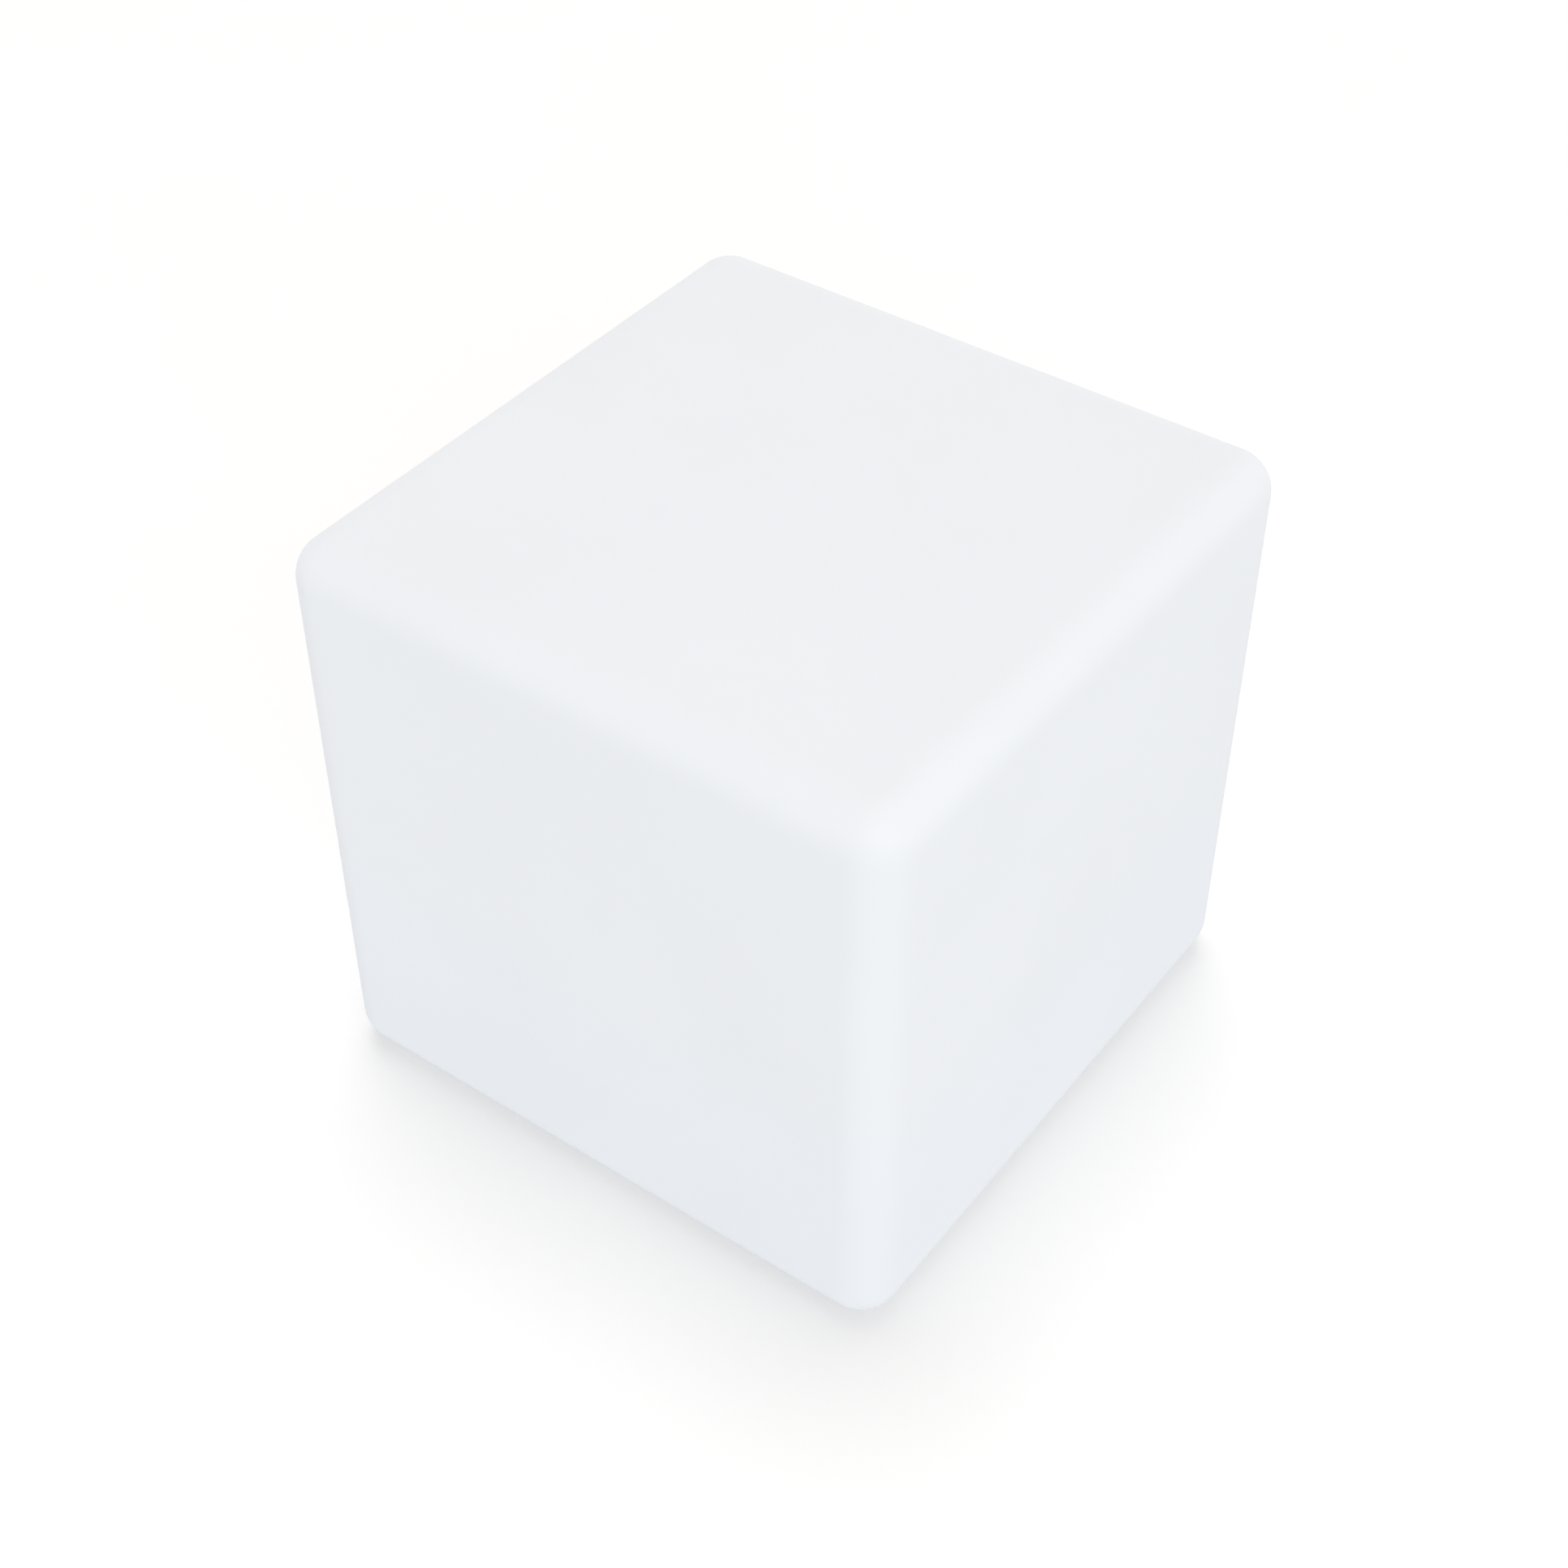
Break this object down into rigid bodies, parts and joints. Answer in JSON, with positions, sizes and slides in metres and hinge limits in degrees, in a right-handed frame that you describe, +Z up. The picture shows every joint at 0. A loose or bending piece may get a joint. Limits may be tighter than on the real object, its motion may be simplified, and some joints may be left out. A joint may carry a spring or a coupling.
{
  "type": "led cube light",
  "caption": "Free-standing hollow white cube light with rounded edges, lit by a sealed rechargeable light unit screwed into a round recess underneath, with push button and charging port",
  "frame": {"origin": "centre of the underside, on the surface the cube stands on", "axes": "+Z up; +X and +Y square to the sides, with the charging port on -X and the push button on +X of the underside"},
  "size_m": [0.4, 0.4, 0.388],
  "materials": {
    "shell_pe": "satin moulded polyethylene, translucent white",
    "brass": "machined",
    "foam_rubber": "closed-cell foam, matt",
    "abs_white": "fine spark texture",
    "stainless": "stainless, turned",
    "cell_wrap": "shrink sleeve",
    "nickel": "nickel plate, dull",
    "pp_black": "moulded, matt",
    "zinc_steel": "zinc plate",
    "board_green": "solder mask",
    "epoxy_black": "moulded epoxy",
    "can_sleeve": "sleeved can",
    "ferrite": "sintered",
    "nylon_white": "natural nylon",
    "button_black": "satin",
    "spring_steel": "drawn wire",
    "led_package": "white package",
    "led_phosphor": "phosphor window",
    "clear_plastic": "clear moulded rod",
    "silicone": "moulded silicone, matt",
    "aluminium": "pressed sheet",
    "board_white": "white solder mask",
    "dome_frosted": "frosted",
    "lead_pvc": "extruded insulation"
  },
  "bodies": {
    "lamp": {"base_gasket": "foam_rubber", "base_screws": "stainless", "battery_cells": "cell_wrap", "battery_lead": "lead_pvc", "battery_strap": "pp_black", "battery_tabs": "nickel", "board_connectors": "nylon_white", "button_spring": "spring_steel", "capacitors": "can_sleeve", "charge_lead": "lead_pvc", "charge_led": "led_package", "charge_light_pipe": "clear_plastic", "charging_jack": "pp_black", "charging_pin": "nickel", "colour_leds": "led_package", "control_board": "board_green", "control_board_screws": "zinc_steel", "controller_chip": "epoxy_black", "cube_shell": "shell_pe", "dome_screws": "zinc_steel", "dome_seal": "foam_rubber", "heat_spreader": "aluminium", "ir_receiver": "epoxy_black", "jack_board": "board_green", "jack_board_screws": "zinc_steel", "jack_terminals": "brass", "led_board": "board_white", "led_board_screws": "zinc_steel", "led_header": "pp_black", "light_base": "abs_white", "light_dome": "dome_frosted", "port_cover_anchor": "silicone", "power_inductor": "ferrite", "strap_screws": "zinc_steel", "switch_body": "pp_black", "switch_lead": "lead_pvc", "switch_nut": "nickel", "switch_seal": "foam_rubber", "switch_terminals": "brass", "threaded_inserts": "brass", "white_leds": "led_phosphor"},
    "button": {"button_cap": "button_black", "switch_contact": "brass"},
    "port_cover": {"port_cover": "silicone"}
  },
  "joints": [
    {"name": "button_press", "type": "slide", "parent": "lamp", "child": "button", "axis": [0, 0, 1], "range_m": [0, 0.0015], "stiffness_N_per_m": 1200, "springref_m": -0.0015, "deforming": ["button_spring"]},
    {"name": "port_cover_hinge", "type": "hinge", "parent": "lamp", "child": "port_cover", "pos_m": [-0.03, 0, 0.0075], "axis": [0, -1, 0], "range_deg": [0, 115]}
  ]
}
